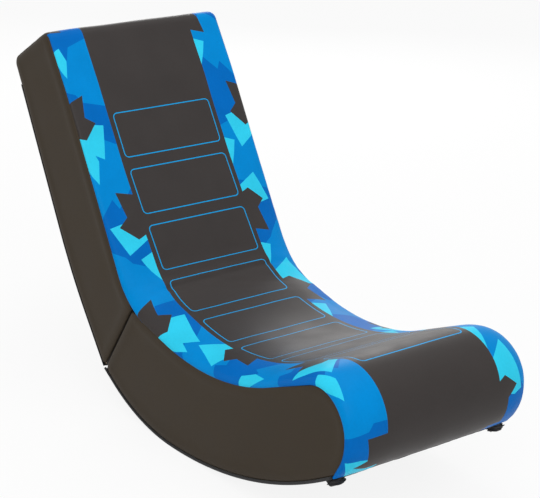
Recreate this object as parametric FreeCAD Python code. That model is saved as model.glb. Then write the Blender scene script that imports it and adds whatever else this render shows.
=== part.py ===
import FreeCAD, Part
import math
import os

# Folding floor rocker chair, in millimetres, drawn as it rests on the floor.
# x runs across the chair, y from the front to the rear, z up.
# A side profile is a list of corners ((y, z), radius). The material lies to its left.

# Overall width and the layers at each side
width = 410.0
side_pad = 7.0
side_roll = 5.0
side_corner = 7.0
board = 12.0
fit_gap = 0.2

# Layers under the front surface
cover = 1.2
wadding = 12.0
crown = 16.0
crown_steps = ((0.82, 0.6), (0.5, 1.0))
edge_roll = 6.0
lip = 8.0
seat_foam = 108.0
back_foam = 34.0

# Front surface of the seat
dip_y = -167.55
dip_z = 170.5
dip_radius = 520.0
seat_rear_slope = 12.0
seat_front_slope = 24.0
seat_rear_run = 295.0
seat_front_run = 411.0
nose_radius = 75.0
front_straight = 5.82
shin_run = 23.69

# Rocker under the seat: two arcs that meet at the floor, with a small flat land
front_rocker_radius = 880.0
toe_setback = 28.79
toe_run = 30.0
rear_rocker_radius = 400.0
rear_rocker_reach = 201.0
tail_run = 39.05
land_depth = 0.5

# Back
fold_radius = 160.0
back_slope = 58.5
back_run = 442.0
head_slope = 55.8
head_run = 126.5
head_radius = 400.0
top_slope = 34.0
top_width = 151.0
top_front_radius = 18.0
top_rear_radius = 16.0
rear_slope = 60.7
rear_run = 448.0
waist_radius = 1200.0
heel_slope = 52.3
cover_wrap = 38.0

# Fold between the seat and the back
fold_tilt = 31.0
fold_angle = 112.0
parting = 5.0
hinge_depth = 8.0
barrel_room = 5.5
end_straight = 12.0
notch_run = 62.0
heel_radius = 18.0

# Cloth under and behind
end_cloth = 1.0
rear_cloth = 1.0
base_cloth = 1.5
base_lip = 6.0
base_roll = 3.0

# Timber and webbing
base_board = 4.0
deck = 9.0
rib = 15.0
rib_places = (-430.0, -270.0, -110.0, 45.0)
end_board = 15.0
front_board = 15.0
front_board_top = 195.0
top_rail = 18.0
mid_rail = 18.0
mid_rail_height = 45.0
mid_rail_place = 100.0
rear_board = 3.0
batten = 20.0
batten_length = 375.0
batten_start = 62.0
webbing = 2.5
webbing_width = 50.0
webbing_count = 4
webbing_pitch = 92.0

# Hinges
hinge_inset = 90.0
leaf_width = 60.0
leaf_length = 32.0
leaf = 2.0
leaf_set = 0.1
barrel_radius = 4.0
knuckle = 20.0
knuckle_gap = 0.3
leaf_relief = 0.6
pin_radius = 2.0
pin_gap = 0.05

# Gathered cloth at the front corners
gather_length = 26.0
gather_width = 18.0
gather_inset = 3.0
gather_depth = 9.0
gather_crease = 4.0
gather_folds = 4

# Cutting tools reach this far past what they cut
past = 1.0
far = 700.0

half = width / 2
pad_in = half - side_pad
board_out = pad_in - fit_gap
board_in = board_out - board
bay = board_in - fit_gap
under_cover = cover + fit_gap
under_pad = cover + wadding + fit_gap
inner_top = under_pad + fit_gap
rear_board_depth = rear_cloth + fit_gap
inner_rear = rear_board_depth + rear_board + fit_gap
base_board_depth = base_cloth + fit_gap
inner_base = base_board_depth + base_board + fit_gap
wide = half + past
hinge_place = half - hinge_inset


def vec(x, y, z):
    return FreeCAD.Vector(x, y, z)


def step(p, degrees, run):
    a = math.radians(degrees)
    return (p[0] + run * math.cos(a), p[1] + run * math.sin(a))


def unit(p, q):
    run = math.hypot(q[0] - p[0], q[1] - p[1])
    return ((q[0] - p[0]) / run, (q[1] - p[1]) / run)


def crossing(p, d, q, e):
    """Point where the line through p along d meets the line through q along e."""
    across = d[0] * e[1] - d[1] * e[0]
    t = ((q[0] - p[0]) * e[1] - (q[1] - p[1]) * e[0]) / across
    return (p[0] + t * d[0], p[1] + t * d[1])


def inset(corners, depths, closed):
    """The profile moved into the material. depths is one value, or one for each side."""
    count = len(corners)
    sides = count if closed else count - 1
    if not isinstance(depths, (list, tuple)):
        depths = [depths] * sides
    lines = []
    for i in range(sides):
        d = unit(corners[i][0], corners[(i + 1) % count][0])
        p = corners[i][0]
        lines.append(((p[0] - d[1] * depths[i], p[1] + d[0] * depths[i]), d))
    moved = []
    for i in range(count):
        p, radius = corners[i]
        if not closed and i in (0, count - 1):
            side = min(i, sides - 1)
            d = lines[side][1]
            moved.append(((p[0] - d[1] * depths[side], p[1] + d[0] * depths[side]), 0.0))
            continue
        a = lines[i - 1]
        b = lines[i]
        turn = a[1][0] * b[1][1] - a[1][1] * b[1][0]
        if radius > 0:
            mean = (depths[i - 1] + depths[i]) / 2
            radius = max(radius - math.copysign(mean, turn), 0.0)
        moved.append((crossing(*a, *b), radius))
    return moved


def profile_edges(corners, closed, x):
    """Straight runs with tangent arcs at the corners, in the plane at x."""
    count = len(corners)
    bends = []
    for i in range(count):
        p, radius = corners[i]
        if radius <= 0 or (not closed and i in (0, count - 1)):
            bends.append((p, None, p))
            continue
        d = unit(corners[i - 1][0], p)
        e = unit(p, corners[(i + 1) % count][0])
        half_turn = math.acos(d[0] * e[0] + d[1] * e[1]) / 2
        run = radius * math.tan(half_turn)
        rise = radius * (1 / math.cos(half_turn) - 1)
        inward = unit((0, 0), (e[0] - d[0], e[1] - d[1]))
        start = (p[0] - d[0] * run, p[1] - d[1] * run)
        end = (p[0] + e[0] * run, p[1] + e[1] * run)
        bends.append((start, (p[0] + inward[0] * rise, p[1] + inward[1] * rise), end))
    edges = []
    for i in range(count if closed else count - 1):
        start, middle, end = bends[i]
        if middle is not None:
            edges.append(Part.Arc(vec(x, *start), vec(x, *middle), vec(x, *end)).toShape())
        after = bends[(i + 1) % count][0]
        if math.dist(end, after) > 0.001:
            edges.append(Part.LineSegment(vec(x, *end), vec(x, *after)).toShape())
    return edges


def prism(corners, x0, x1):
    """Solid from x0 to x1 with a closed side profile."""
    face = Part.Face(Part.Wire(profile_edges(corners, True, x0)))
    return face.extrude(vec(x1 - x0, 0, 0))


def band(path, near, deep, x0, x1):
    """Solid from x0 to x1 between two depths under an open profile."""
    top = profile_edges(inset(path, near, False), False, x0)
    under = profile_edges(inset(path, deep, False), False, x0)
    end = Part.LineSegment(top[-1].Vertexes[-1].Point, under[-1].Vertexes[-1].Point).toShape()
    start = Part.LineSegment(under[0].Vertexes[0].Point, top[0].Vertexes[0].Point).toShape()
    wire = Part.Wire(top + [end] + under[::-1] + [start])
    return Part.Face(wire).extrude(vec(x1 - x0, 0, 0))


def swept(path, points):
    """Solid swept along an open profile, with the section's corners as (x, height)."""
    start = path[0][0]
    d = unit(start, path[1][0])

    def place(x, height):
        return vec(x, start[0] + d[1] * height, start[1] - d[0] * height)

    rim = []
    for i, point in enumerate(points):
        p = place(*point)
        q = place(*points[(i + 1) % len(points)])
        rim.append(Part.LineSegment(p, q).toShape())
    pipe = Part.BRepOffsetAPI.MakePipeShell(Part.Wire(profile_edges(path, False, 0.0)))
    pipe.add(Part.Wire(rim), False, False)
    pipe.build()
    pipe.makeSolid()
    return pipe.shape()


def crowned(flat, height, rise):
    """Points across the chair from -flat to flat, raised in the middle."""
    side = [(flat, height)]
    if rise > 0:
        side += [(flat * share, height + rise * part) for share, part in crown_steps]
    return [(-x, h) for x, h in side] + side[::-1]


def sheet(path, reach, roll, drop, thick, rise):
    """Thin sheet across the chair, raised in the middle, turned over both edges into a lip."""
    flat = reach - roll
    bend = math.sqrt(0.5)
    outer = crowned(flat, 0, rise)
    inner = crowned(flat, -thick, rise)
    if rise > 0:
        outer = [(-flat - roll * bend, roll * (bend - 1))] + outer + [(flat + roll * bend, roll * (bend - 1))]
    points = [(-reach, -drop), (-reach, -roll)] + outer + [(reach, -roll), (reach, -drop)]
    points += [(reach - thick, -drop), (reach - thick, -roll)] + inner[::-1]
    points += [(thick - reach, -roll), (thick - reach, -drop)]
    return swept(path, points)


def padding(path, reach, roll, top, shoulder, shoulder_reach, bottom, rise):
    """Padding across the chair: crowned, turned down at both edges, stepped in over the side covers."""
    side = [(reach, -top - roll), (reach, -shoulder), (shoulder_reach, -shoulder), (shoulder_reach, -bottom)]
    points = [(-x, height) for x, height in side[::-1]]
    return swept(path, points + crowned(reach - roll, -top, rise) + side)


# Corners of the front surface
dip = (dip_y, dip_z)
fold = step(dip, seat_rear_slope, seat_rear_run)
nose = step(dip, 180 - seat_front_slope, seat_front_run)
nose_run = nose_radius * math.tan(math.radians(90 + seat_front_slope) / 2)
shin = (nose[0], nose[1] - nose_run - front_straight - shin_run)
head = step(fold, back_slope, back_run)
top_front = step(head, head_slope, head_run)
top_rear = step(top_front, -top_slope, top_width)
wrap_end = step(top_rear, 180 + rear_slope, top_rear_radius + cover_wrap)
waist = step(top_rear, 180 + rear_slope, rear_run)
heel = step(waist, 180 + heel_slope, rear_run)

# Place of the fold on the rounded corner between seat and back
fold_centre = step(fold, (seat_rear_slope + back_slope) / 2 + 90,
                   fold_radius / math.cos(math.radians(back_slope - seat_rear_slope) / 2))
fold_top = step(fold_centre, fold_tilt - 90, fold_radius)
axis = step(fold_top, fold_tilt - 90, hinge_depth)
up_parting = unit(axis, step(axis, fold_tilt + 90, hinge_depth))

# Rear arc of the rocker, which ends a straight run short of the parting
low = -land_depth
rear_turn = math.asin(rear_rocker_reach / rear_rocker_radius)
rear_rise = rear_rocker_radius * (1 - math.cos(rear_turn)) + tail_run * math.sin(rear_turn)
seat_heel_point = crossing((0, low + rear_rise), (1, 0), axis, up_parting)
floor_y = seat_heel_point[0] - tail_run * math.cos(rear_turn) - rear_rocker_reach
rear_rocker = (floor_y + rear_rocker_radius * math.tan(rear_turn / 2), low)
tail = step(seat_heel_point, math.degrees(rear_turn), rear_rocker_reach)

# Front arc of the rocker, which ends in a straight run to the toe behind the nose
toe_reach = floor_y - nose[0] - toe_setback
front_turn = math.asin(toe_reach / math.hypot(front_rocker_radius, toe_run))
front_turn -= math.atan(toe_run / front_rocker_radius)
front_tangent = front_rocker_radius * math.tan(front_turn / 2)
front_rocker = (floor_y - front_tangent, low)
toe = step(front_rocker, 180 - math.degrees(front_turn), front_tangent + toe_run)
shin_bend = math.atan2(toe[0] - shin[0], shin[1] - toe[1])
shin_radius = shin_run / math.tan(shin_bend / 2)

# Open profiles of the surfaces. Each runs past the fold, and the parting cuts it there.
over_back = step(fold, back_slope, far)
over_seat = step(fold, 180 + seat_rear_slope, far)
seat_top = [(over_back, 0), (fold, fold_radius), (dip, dip_radius), (nose, nose_radius),
            (shin, shin_radius), (toe, 0)]
back_top = [(wrap_end, 0), (top_rear, top_rear_radius), (top_front, top_front_radius),
            (head, head_radius), (fold, fold_radius), (over_seat, 0)]
base_line = [(toe, 0), (front_rocker, front_rocker_radius), (rear_rocker, rear_rocker_radius), (tail, 0)]
rear_line = [(heel, 0), (waist, waist_radius), (wrap_end, 0)]


def closing_bend(slope):
    """Corner and radius that round the surface from a straight slope to the parting."""
    line = (dip, unit(dip, fold)) if slope == seat_rear_slope else (head, unit(head, fold))
    corner = crossing(*line, fold_top, unit((0, 0), step((0, 0), fold_tilt, 1)))
    turn = math.radians(abs(fold_tilt - slope))
    return corner, (math.dist(corner, fold_top) - end_straight) / math.tan(turn / 2)


def seat_profile(top, base, end, heel=0, corner=0):
    """Closed profile of the seat, moved in from its top, its base and the parting."""
    corners = [(toe, 0), (front_rocker, front_rocker_radius), (rear_rocker, rear_rocker_radius),
               (seat_heel_point, 0), (fold_top, 0), closing_bend(seat_rear_slope)] + seat_top[2:5]
    moved = inset(corners, [base] * 3 + [end] + [top] * 5, True)
    for i, radius in ((0, corner), (3, heel), (4, corner)):
        moved[i] = (moved[i][0], radius)
    return moved


def back_profile(top, rear, end, corner=0):
    """Closed profile of the back, moved in from its front, its rear and the parting."""
    heel_point = crossing(waist, unit(waist, heel), axis, up_parting)
    corners = back_top[1:4] + [closing_bend(back_slope), (fold_top, 0), (heel_point, 0)]
    corners.append((waist, waist_radius))
    moved = inset(corners, [top] * 4 + [end] + [rear] * 2, True)
    for i in (4, 5):
        moved[i] = (moved[i][0], corner)
    return moved


def fold_place(across, up):
    """Point by its distance from the hinge axis, towards the back and up the parting."""
    return step(step(axis, fold_tilt, across), fold_tilt + 90, up)


def fold_side(side, gap, x0, x1):
    """Space on one side of the parting (-1 seat, 1 back), with the notch that lets the back fold."""
    spread = math.radians(fold_angle / 2)
    reach = side * (gap + notch_run * math.sin(spread))
    corners = [fold_place(side * gap, -far), fold_place(side * gap, 0),
               fold_place(reach, notch_run * math.cos(spread)), fold_place(reach, far),
               fold_place(side * 2 * far, far), fold_place(side * 2 * far, -far)]
    return prism([(p, 0) for p in corners], x0, x1)


def seat_side(shape, gap):
    return shape.common(fold_side(-1, gap, -wide, wide))


def back_side(shape, gap):
    return shape.common(fold_side(1, gap, -wide, wide))


def slab(near, deep, side):
    """Board space along the parting, between two distances from it."""
    corners = [fold_place(side * near, -far), fold_place(side * near, far),
               fold_place(side * deep, far), fold_place(side * deep, -far)]
    return prism([(p, 0) for p in corners], -bay, bay)


def barrel_channel():
    """Round groove along the fold that the hinge barrels lie in."""
    return Part.makeCylinder(barrel_room, 2 * wide, vec(-wide, *axis), vec(1, 0, 0))


def heel_cut(corner, d, e, radius):
    """What a rounding takes off the corner between two lines that leave it along d and e."""
    half_angle = math.acos(d[0] * e[0] + d[1] * e[1]) / 2
    run = radius / math.tan(half_angle)
    inward = unit((0, 0), (d[0] + e[0], d[1] + e[1]))
    depth = radius / math.sin(half_angle) - radius
    a = (corner[0] + d[0] * run, corner[1] + d[1] * run)
    b = (corner[0] + e[0] * run, corner[1] + e[1] * run)
    m = (corner[0] + inward[0] * depth, corner[1] + inward[1] * depth)
    out = (corner[0] - inward[0] * radius, corner[1] - inward[1] * radius)
    edges = [Part.Arc(vec(-wide, *a), vec(-wide, *m), vec(-wide, *b)).toShape(),
             Part.LineSegment(vec(-wide, *b), vec(-wide, *out)).toShape(),
             Part.LineSegment(vec(-wide, *out), vec(-wide, *a)).toShape()]
    return Part.Face(Part.Wire(edges)).extrude(vec(2 * wide, 0, 0))


def seat_heel(gap, base, radius):
    """Rounding tool for the lower rear corner of a seat piece."""
    line = inset([(rear_rocker, 0), (tail, 0)], base, False)
    d = unit(line[1][0], line[0][0])
    e = unit(fold_place(-gap, -far), fold_place(-gap, 0))
    corner = crossing(line[0][0], d, fold_place(-gap, 0), e)
    return heel_cut(corner, d, e, radius)


def mirrored(shape):
    return shape.mirror(vec(0, 0, 0), vec(1, 0, 0))


def hinge_leaf(side, centre):
    """One leaf of a butt hinge: a plate on the end board with its knuckles round the pin."""
    inner = parting / 2 + end_cloth + fit_gap - leaf_set
    edge = barrel_radius + leaf_relief
    plate = [fold_place(side * inner, -leaf_length), fold_place(side * (inner - leaf), -leaf_length),
             fold_place(side * (inner - leaf), -edge), fold_place(side * inner, -edge)]
    tab = [fold_place(side * inner, -edge - leaf), fold_place(side * (inner - leaf), -edge - leaf),
           fold_place(side * (inner - leaf), 0), fold_place(side * inner, 0)]
    middle = knuckle / 2 - knuckle_gap / 2
    outer = knuckle / 2 + knuckle_gap / 2
    spans = [(-middle, middle)] if side > 0 else [(-leaf_width / 2, -outer), (outer, leaf_width / 2)]
    shape = prism([(p, 0) for p in plate], centre - leaf_width / 2, centre + leaf_width / 2)
    for x0, x1 in spans:
        barrel = Part.makeCylinder(barrel_radius, x1 - x0, vec(centre + x0, *axis), vec(1, 0, 0))
        shape = shape.fuse([barrel, prism([(p, 0) for p in tab], centre + x0, centre + x1)])
    return shape.removeSplitter().cut(hinge_pin(centre, pin_gap))


def hinge_pin(centre, gap=0):
    start = vec(centre - leaf_width / 2, *axis)
    return Part.makeCylinder(pin_radius + gap, leaf_width, start, vec(1, 0, 0))


def leaf_windows(side):
    """Openings in the end cloth round both leaves."""
    windows = []
    corners = [fold_place(0, 0), fold_place(side * board_end, 0),
               fold_place(side * board_end, -leaf_length - fit_gap), fold_place(0, -leaf_length - fit_gap)]
    reach = leaf_width / 2 + fit_gap
    for centre in (-hinge_place, hinge_place):
        windows.append(prism([(p, 0) for p in corners], centre - reach, centre + reach))
    return windows


skin_end = parting / 2
board_end = skin_end + end_cloth + fit_gap
foam_end = board_end + end_board + fit_gap
deck_top = inner_top + seat_foam
deck_line = [(over_back, 0), (fold, fold_radius), (dip, dip_radius),
             (step(dip, 180 - seat_front_slope, far), 0)]
shin_line = [(nose, 0), (shin, shin_radius), (toe, 0)]
base_ahead = [(step(toe, 180 - math.degrees(front_turn), far), 0)] + base_line[1:]
channel = barrel_channel()


def below(height, x0, x1):
    """Space under a level, in front of the fold."""
    return Part.makeBox(x1 - x0, 2 * far, far, vec(x0, -far, height - far))


def under_base(depth):
    """Space under the rocker surface, down from a depth inside it."""
    return band(base_ahead, -far / 2, depth, -wide, wide)


def side_cover(shape):
    """Padded cover of one side, with its outer edges turned in."""
    outer = [e for e in shape.Edges if min(v.X for v in e.Vertexes) > half - fit_gap]
    return shape.makeChamfer(side_roll, outer)


def front_board_shape():
    room = prism(seat_profile(inner_top, inner_base, board_end), -bay, bay)
    room = room.common(below(front_board_top, -half, half))
    return room.common(band(shin_line, inner_top, inner_top + front_board, -half, half))


def seat_room():
    """Space inside the seat, ahead of its end board."""
    room = prism(seat_profile(inner_top, inner_base, board_end), -bay, bay)
    return room.common(slab(foam_end, far, -1))


def rib_shapes():
    """Cross ribs that stand on the base board and carry the deck."""
    room = seat_room().common(band(deck_line, deck_top + deck + fit_gap, far, -half, half))
    return [room.common(Part.makeBox(width, rib, far, vec(-half, y, 0))) for y in rib_places]


def seat_core_shape():
    room = seat_room().cut(band(deck_line, deck_top - fit_gap, far, -half, half))
    front = band(shin_line, 0, inner_top + front_board + fit_gap, -half, half)
    return room.cut(front.common(below(front_board_top + fit_gap, -half, half)))


def seat_deck_shape():
    board_shape = band(deck_line, deck_top, deck_top + deck, -half, half)
    board_shape = board_shape.common(seat_room())
    return board_shape.cut(band(shin_line, 0, inner_top + front_board + fit_gap, -half, half))


def seat_cover_shape():
    shape = sheet(seat_top, half - fit_gap, edge_roll, lip, cover, crown)
    return seat_side(shape, skin_end).cut([channel, under_base(base_cloth + fit_gap)])


def seat_padding_shape():
    shape = padding(seat_top, half - under_cover - fit_gap, edge_roll - cover, under_cover,
                    lip, board_out, under_pad, crown)
    return seat_side(shape, board_end).cut([channel, under_base(inner_base)])


def base_cloth_shape():
    shape = sheet(base_line, half - fit_gap, base_roll, base_lip, base_cloth, 0)
    shape = seat_side(shape, skin_end).cut(seat_heel(skin_end, 0, heel_radius))
    corner = band(shin_line, -past, lip + fit_gap, -wide, wide).cut(under_base(base_cloth + fit_gap))
    return shape.cut([corner, below(0, -wide, wide)])


def end_sheet(side, profile):
    """Cloth over an end board, cut out round the hinge leaves."""
    deep = skin_end + end_cloth
    corners = [fold_place(side * skin_end, -far), fold_place(side * skin_end, far),
               fold_place(side * deep, far), fold_place(side * deep, -far)]
    shape = prism([(p, 0) for p in corners], -board_out, board_out).common(profile)
    return shape.cut(leaf_windows(side))


def top_rail_shape():
    room = prism(back_profile(inner_top, inner_rear, board_end), -bay, bay)
    return room.common(band([(top_rear, 0), (top_front, 0)], inner_top, inner_top + top_rail, -half, half))


def mid_rail_shape():
    start = step(waist, rear_slope, mid_rail_place)
    path = [(start, 0), (step(start, rear_slope, mid_rail_height), 0)]
    return band(path, inner_rear, inner_rear + mid_rail, -bay, bay)


def back_core_shape():
    start = step(top_front, 180 + head_slope, inner_top + top_rail + fit_gap)
    path = [(start, 0), (head, head_radius), (fold, fold_radius), (over_seat, 0)]
    return back_side(band(path, inner_top, inner_top + back_foam, -bay, bay), foam_end)


def along_back(start, run, near, deep, x0, x1):
    """Flat piece along the straight of the back, by its run above the fold corner."""
    path = [(step(fold, back_slope, start + run), 0), (step(fold, back_slope, start), 0)]
    return band(path, near, deep, x0, x1)


def webbing_shapes():
    near = inner_top + back_foam + fit_gap
    starts = [batten_start + i * webbing_pitch for i in range(webbing_count)]
    return [along_back(s, webbing_width, near, near + webbing, -bay, bay) for s in starts]


def batten_shapes():
    near = inner_top + back_foam + webbing + 2 * fit_gap
    one = along_back(batten_start, batten_length, near, near + batten, bay - batten, bay)
    return [one, mirrored(one)]


def gather_shape():
    """Cloth drawn together in folds under the right front corner."""
    slope = -math.degrees(front_turn)
    count = 2 * gather_folds
    corners = [(toe, 0), (step(toe, slope, gather_length), 0)]
    for i in range(count, -1, -1):
        along = step(toe, slope, i * gather_length / count)
        corners.append((step(along, slope - 90, gather_depth if i % 2 else gather_crease), 0))
    return prism(corners, half - gather_inset - gather_width, half - gather_inset)


def seat_parts():
    end = prism(seat_profile(inner_top, inner_base, board_end), -bay, bay)
    pad = seat_profile(lip + fit_gap, base_lip + fit_gap, skin_end, heel_radius, side_corner)
    cloth_room = prism(seat_profile(inner_top, base_cloth + fit_gap, skin_end), -board_out, board_out)
    base = band(base_line, base_board_depth, base_board_depth + base_board, -board_out, board_out)
    return {
        "seat_cover": seat_cover_shape(),
        "seat_padding": seat_padding_shape(),
        "seat_core_foam": seat_core_shape(),
        "seat_deck": seat_deck_shape(),
        "seat_ribs": Part.makeCompound(rib_shapes()),
        "seat_front_board": front_board_shape(),
        "seat_end_board": end.common(slab(board_end, foam_end - fit_gap, -1)),
        "seat_side_board_right": prism(seat_profile(inner_top, inner_base, board_end), board_in, board_out),
        "rocker_base_board": seat_side(base, board_end),
        "rocker_base_cloth": base_cloth_shape(),
        "seat_end_cloth": end_sheet(-1, cloth_room),
        "seat_side_cover_right": side_cover(prism(pad, pad_in, half)),
        "front_gather_right": gather_shape(),
        "seat_leaf_right": hinge_leaf(-1, hinge_place),
        "hinge_pin_right": hinge_pin(hinge_place),
    }


def back_parts():
    end = prism(back_profile(inner_top, inner_rear, board_end), -bay, bay)
    pad = back_profile(lip + fit_gap, lip + fit_gap, skin_end, side_corner)
    cloth_room = prism(back_profile(inner_top, rear_board_depth, skin_end), -board_out, board_out)
    pad_start = step(top_front, -top_slope, top_width - top_rear_radius)
    padding_shape = padding([(pad_start, 0)] + back_top[2:], half - under_cover - fit_gap, edge_roll - cover,
                            under_cover, lip, board_out, under_pad, crown)
    cover_shape = sheet(back_top, half - fit_gap, edge_roll, lip, cover, crown)
    rear_path = rear_line[:2] + [(step(wrap_end, 180 + rear_slope, fit_gap), 0)]
    rear_sheet = sheet(rear_path, half - fit_gap, edge_roll, lip, rear_cloth, 0)
    rear = band(rear_path, rear_board_depth, rear_board_depth + rear_board, -board_out, board_out)
    return {
        "back_cover": back_side(cover_shape, skin_end).cut(channel),
        "back_padding": back_side(padding_shape, board_end).cut(channel),
        "back_core_foam": back_core_shape(),
        "back_webbing": Part.makeCompound(webbing_shapes()),
        "back_battens": Part.makeCompound(batten_shapes()),
        "back_top_rail": top_rail_shape(),
        "back_mid_rail": mid_rail_shape(),
        "back_end_board": end.common(slab(board_end, foam_end - fit_gap, 1)),
        "back_side_board_right": prism(back_profile(inner_top, inner_rear, board_end), board_in, board_out),
        "back_rear_board": back_side(rear, board_end),
        "back_rear_cloth": back_side(rear_sheet, skin_end),
        "back_end_cloth": end_sheet(1, cloth_room),
        "back_side_cover_right": side_cover(prism(pad, pad_in, half)),
        "back_leaf_right": hinge_leaf(1, hinge_place),
    }


def main():
    os.makedirs("parts", exist_ok=True)
    nodes = seat_parts()
    nodes.update(back_parts())
    for name in [n for n in nodes if n.endswith("_right")]:
        nodes[name.replace("_right", "_left")] = mirrored(nodes[name])
    for name, shape in nodes.items():
        shape.exportStep("parts/" + name + ".step")
        print(name, len(shape.Solids), shape.isValid(), round(shape.Volume / 1000, 1))
    print("hinge axis", [round(v, 3) for v in axis])


main()
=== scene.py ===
import bmesh
import bpy
import math
import random
import numpy as np
from mathutils import Matrix, Vector, geometry, kdtree, noise


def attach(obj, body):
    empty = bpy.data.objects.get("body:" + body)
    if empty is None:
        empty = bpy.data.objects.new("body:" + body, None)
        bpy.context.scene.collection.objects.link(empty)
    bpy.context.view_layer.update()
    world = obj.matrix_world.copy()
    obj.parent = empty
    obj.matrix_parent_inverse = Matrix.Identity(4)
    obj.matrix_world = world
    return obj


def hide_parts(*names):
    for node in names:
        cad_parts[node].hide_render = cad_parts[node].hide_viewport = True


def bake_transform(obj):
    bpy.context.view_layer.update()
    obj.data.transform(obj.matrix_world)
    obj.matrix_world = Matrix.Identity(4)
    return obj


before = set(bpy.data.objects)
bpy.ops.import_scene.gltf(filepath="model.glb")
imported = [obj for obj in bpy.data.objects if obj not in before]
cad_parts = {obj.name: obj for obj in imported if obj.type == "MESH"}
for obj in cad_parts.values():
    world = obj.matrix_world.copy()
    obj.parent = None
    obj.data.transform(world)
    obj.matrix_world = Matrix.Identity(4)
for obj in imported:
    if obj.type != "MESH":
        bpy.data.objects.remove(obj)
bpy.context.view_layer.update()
MM = 0.001

# Side profile as the CAD has it: mm and degrees, y to the rear and z up
HALF = 205.0
DIP = (-167.55, 170.5)
LAND_Y = -33.55
BASE_Z = -0.5
SEAT_SLOPE = 12.0
BACK_SLOPE = 58.5
REAR_SLOPE = 240.7
FOLD_TILT = 31.0
PARTING = 2.5
AXIS_DEPTH = 8.0
SHIN_RADIUS = 90.0
NOSE_RADIUS = 75.0
DIP_RADIUS = 520.0
FOLD_RADIUS = 160.0
HEAD_RADIUS = 400.0
TOP_FRONT_RADIUS = 18.0
TOP_REAR_RADIUS = 16.0
WAIST_RADIUS = 1200.0
FRONT_ROCKER_RADIUS = 880.0
REAR_ROCKER_RADIUS = 400.0


def step(p, degrees, run):
    a = math.radians(degrees)
    return (p[0] + run * math.cos(a), p[1] + run * math.sin(a))


def unit(p, q):
    run = math.hypot(q[0] - p[0], q[1] - p[1])
    return ((q[0] - p[0]) / run, (q[1] - p[1]) / run)


def crossing(p, d, q, e):
    """Where the line from p along d meets the line from q along e."""
    across = d[0] * e[1] - d[1] * e[0]
    t = ((q[0] - p[0]) * e[1] - (q[1] - p[1]) * e[0]) / across
    return (p[0] + t * d[0], p[1] + t * d[1])


FOLD = step(DIP, SEAT_SLOPE, 295.0)
NOSE = step(DIP, 156.0, 411.0)
SHIN = (NOSE[0], NOSE[1] - 145.0)
HEAD = step(FOLD, BACK_SLOPE, 442.0)
TOP_FRONT = step(HEAD, 55.8, 126.5)
TOP_REAR = step(TOP_FRONT, -34.0, 151.0)
WRAP_END = step(TOP_REAR, REAR_SLOPE, 54.0)
WAIST = step(TOP_REAR, REAR_SLOPE, 448.0)
HEEL = step(WAIST, 232.3, 448.0)
FRONT_TURN = math.asin(455.0 / FRONT_ROCKER_RADIUS)
REAR_TURN = math.asin(201.0 / REAR_ROCKER_RADIUS)
FRONT_TANGENT = FRONT_ROCKER_RADIUS * math.tan(FRONT_TURN / 2)
FRONT_ROCKER = (LAND_Y - FRONT_TANGENT, BASE_Z)
TOE = step(FRONT_ROCKER, 180 - math.degrees(FRONT_TURN), FRONT_TANGENT + 30.0)
REAR_ROCKER = (LAND_Y + REAR_ROCKER_RADIUS * math.tan(REAR_TURN / 2), BASE_Z)
TAIL = step(REAR_ROCKER, math.degrees(REAR_TURN), 402.0)
FOLD_CENTRE = step(FOLD, 90 + (SEAT_SLOPE + BACK_SLOPE) / 2,
                   FOLD_RADIUS / math.cos(math.radians(BACK_SLOPE - SEAT_SLOPE) / 2))
FOLD_TOP = step(FOLD_CENTRE, FOLD_TILT - 90, FOLD_RADIUS)
AXIS = step(FOLD_TOP, FOLD_TILT - 90, AXIS_DEPTH)
# directions across the parting, from seat to back, and up along it
ACROSS_DIR = unit((0, 0), step((0, 0), FOLD_TILT, 1))
PART_DIR = unit((0, 0), step((0, 0), FOLD_TILT + 90, 1))
SEAT_HEEL = crossing(REAR_ROCKER, unit(REAR_ROCKER, TAIL), AXIS, PART_DIR)
BACK_HEEL = crossing(WAIST, unit(WAIST, HEEL), AXIS, PART_DIR)


def fold_place(across, up):
    """The point of the side profile at (across, up) from the hinge axis."""
    return step(step(AXIS, FOLD_TILT, across), FOLD_TILT + 90, up)


def from_fold(p):
    """A point of the side profile as (across, up) from the hinge axis."""
    y, z = p[0] - AXIS[0], p[1] - AXIS[1]
    return y * ACROSS_DIR[0] + z * ACROSS_DIR[1], y * PART_DIR[0] + z * PART_DIR[1]


def between(p, q, t):
    return (p[0] + (q[0] - p[0]) * t, p[1] + (q[1] - p[1]) * t)


def spaced(points, least):
    """The points that lie further than least from the one kept before."""
    keep = [points[0]]
    for p in points[1:]:
        if math.dist(p, keep[-1]) > least:
            keep.append(p)
    return keep


def inset(corners, depths):
    """The closed profile moved into the material by one depth for each side."""
    count = len(corners)
    lines = []
    for i in range(count):
        p = corners[i][0]
        d = unit(p, corners[(i + 1) % count][0])
        lines.append(((p[0] - d[1] * depths[i], p[1] + d[0] * depths[i]), d))
    moved = []
    for i in range(count):
        a, b = lines[i - 1], lines[i]
        turn = a[1][0] * b[1][1] - a[1][1] * b[1][0]
        radius = corners[i][1]
        if radius > 0:
            radius = max(radius - math.copysign((depths[i - 1] + depths[i]) / 2, turn), 0.0)
        moved.append((crossing(*a, *b), radius))
    return moved


def closing_bend(start, slope):
    """Corner and radius where a front face turns into the flat run at the fold."""
    flat_run = 12.0
    corner = crossing(start, unit(start, FOLD), FOLD_TOP, ACROSS_DIR)
    turn = math.radians(abs(FOLD_TILT - slope))
    return corner, (math.dist(corner, FOLD_TOP) - flat_run) / math.tan(turn / 2)


def with_radii(corners, radii):
    """The corners with a new radius for those given by their number."""
    return [(p, radii.get(i, radius)) for i, (p, radius) in enumerate(corners)]


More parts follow.
